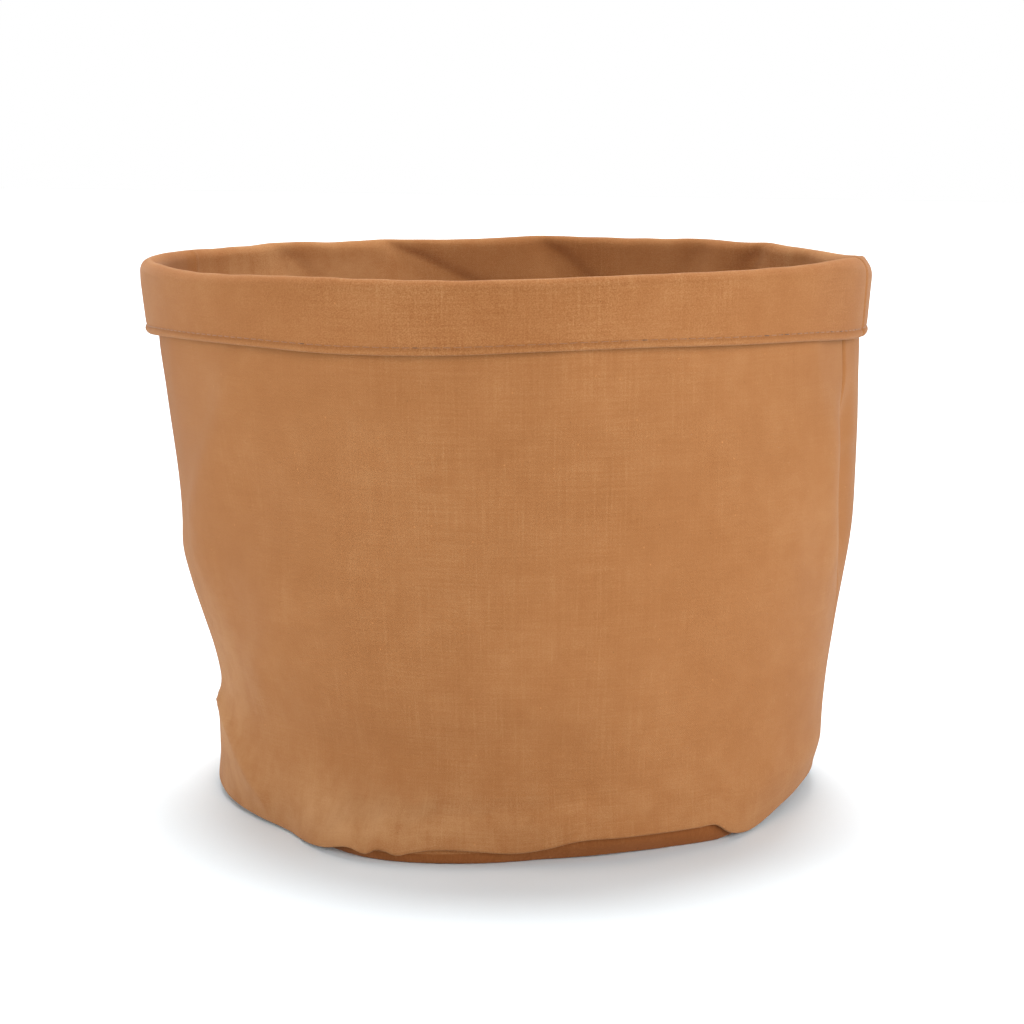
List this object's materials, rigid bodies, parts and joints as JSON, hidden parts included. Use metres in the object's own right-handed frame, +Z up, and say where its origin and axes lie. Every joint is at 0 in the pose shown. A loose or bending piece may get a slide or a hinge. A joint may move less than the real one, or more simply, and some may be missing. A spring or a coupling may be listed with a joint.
{
  "type": "fabric grow bag",
  "caption": "Round free-standing fabric planting bag with a lined double wall and a turned-down, topstitched cuff around its open rim.",
  "frame": {"origin": "centre of the bag's footprint, on the floor it stands on", "axes": "+Z up through the open rim; the side seams lie on +X and -X; the front panel faces -Y"},
  "size_m": [0.3, 0.3, 0.22],
  "materials": {
    "outer_canvas": "coarse plain-weave brown canvas, matt",
    "lining_canvas": "the same brown canvas, as a lining and on the cuff's face, matt",
    "sewing_thread": "brown sewing thread, slightly darker than the canvas"
  },
  "bodies": {
    "root": {"outer_front_panel": "outer_canvas", "outer_back_panel": "outer_canvas", "outer_base_panel": "outer_canvas", "lining_front_panel": "lining_canvas", "lining_back_panel": "lining_canvas", "lining_base_panel": "lining_canvas", "outer_right_seam_thread": "sewing_thread", "outer_left_seam_thread": "sewing_thread", "lining_right_seam_thread": "sewing_thread", "lining_left_seam_thread": "sewing_thread", "outer_base_seam_thread": "sewing_thread", "lining_base_seam_thread": "sewing_thread", "rim_topstitch_needle_thread": "sewing_thread", "rim_topstitch_bobbin_thread": "sewing_thread"}
  },
  "joints": []
}
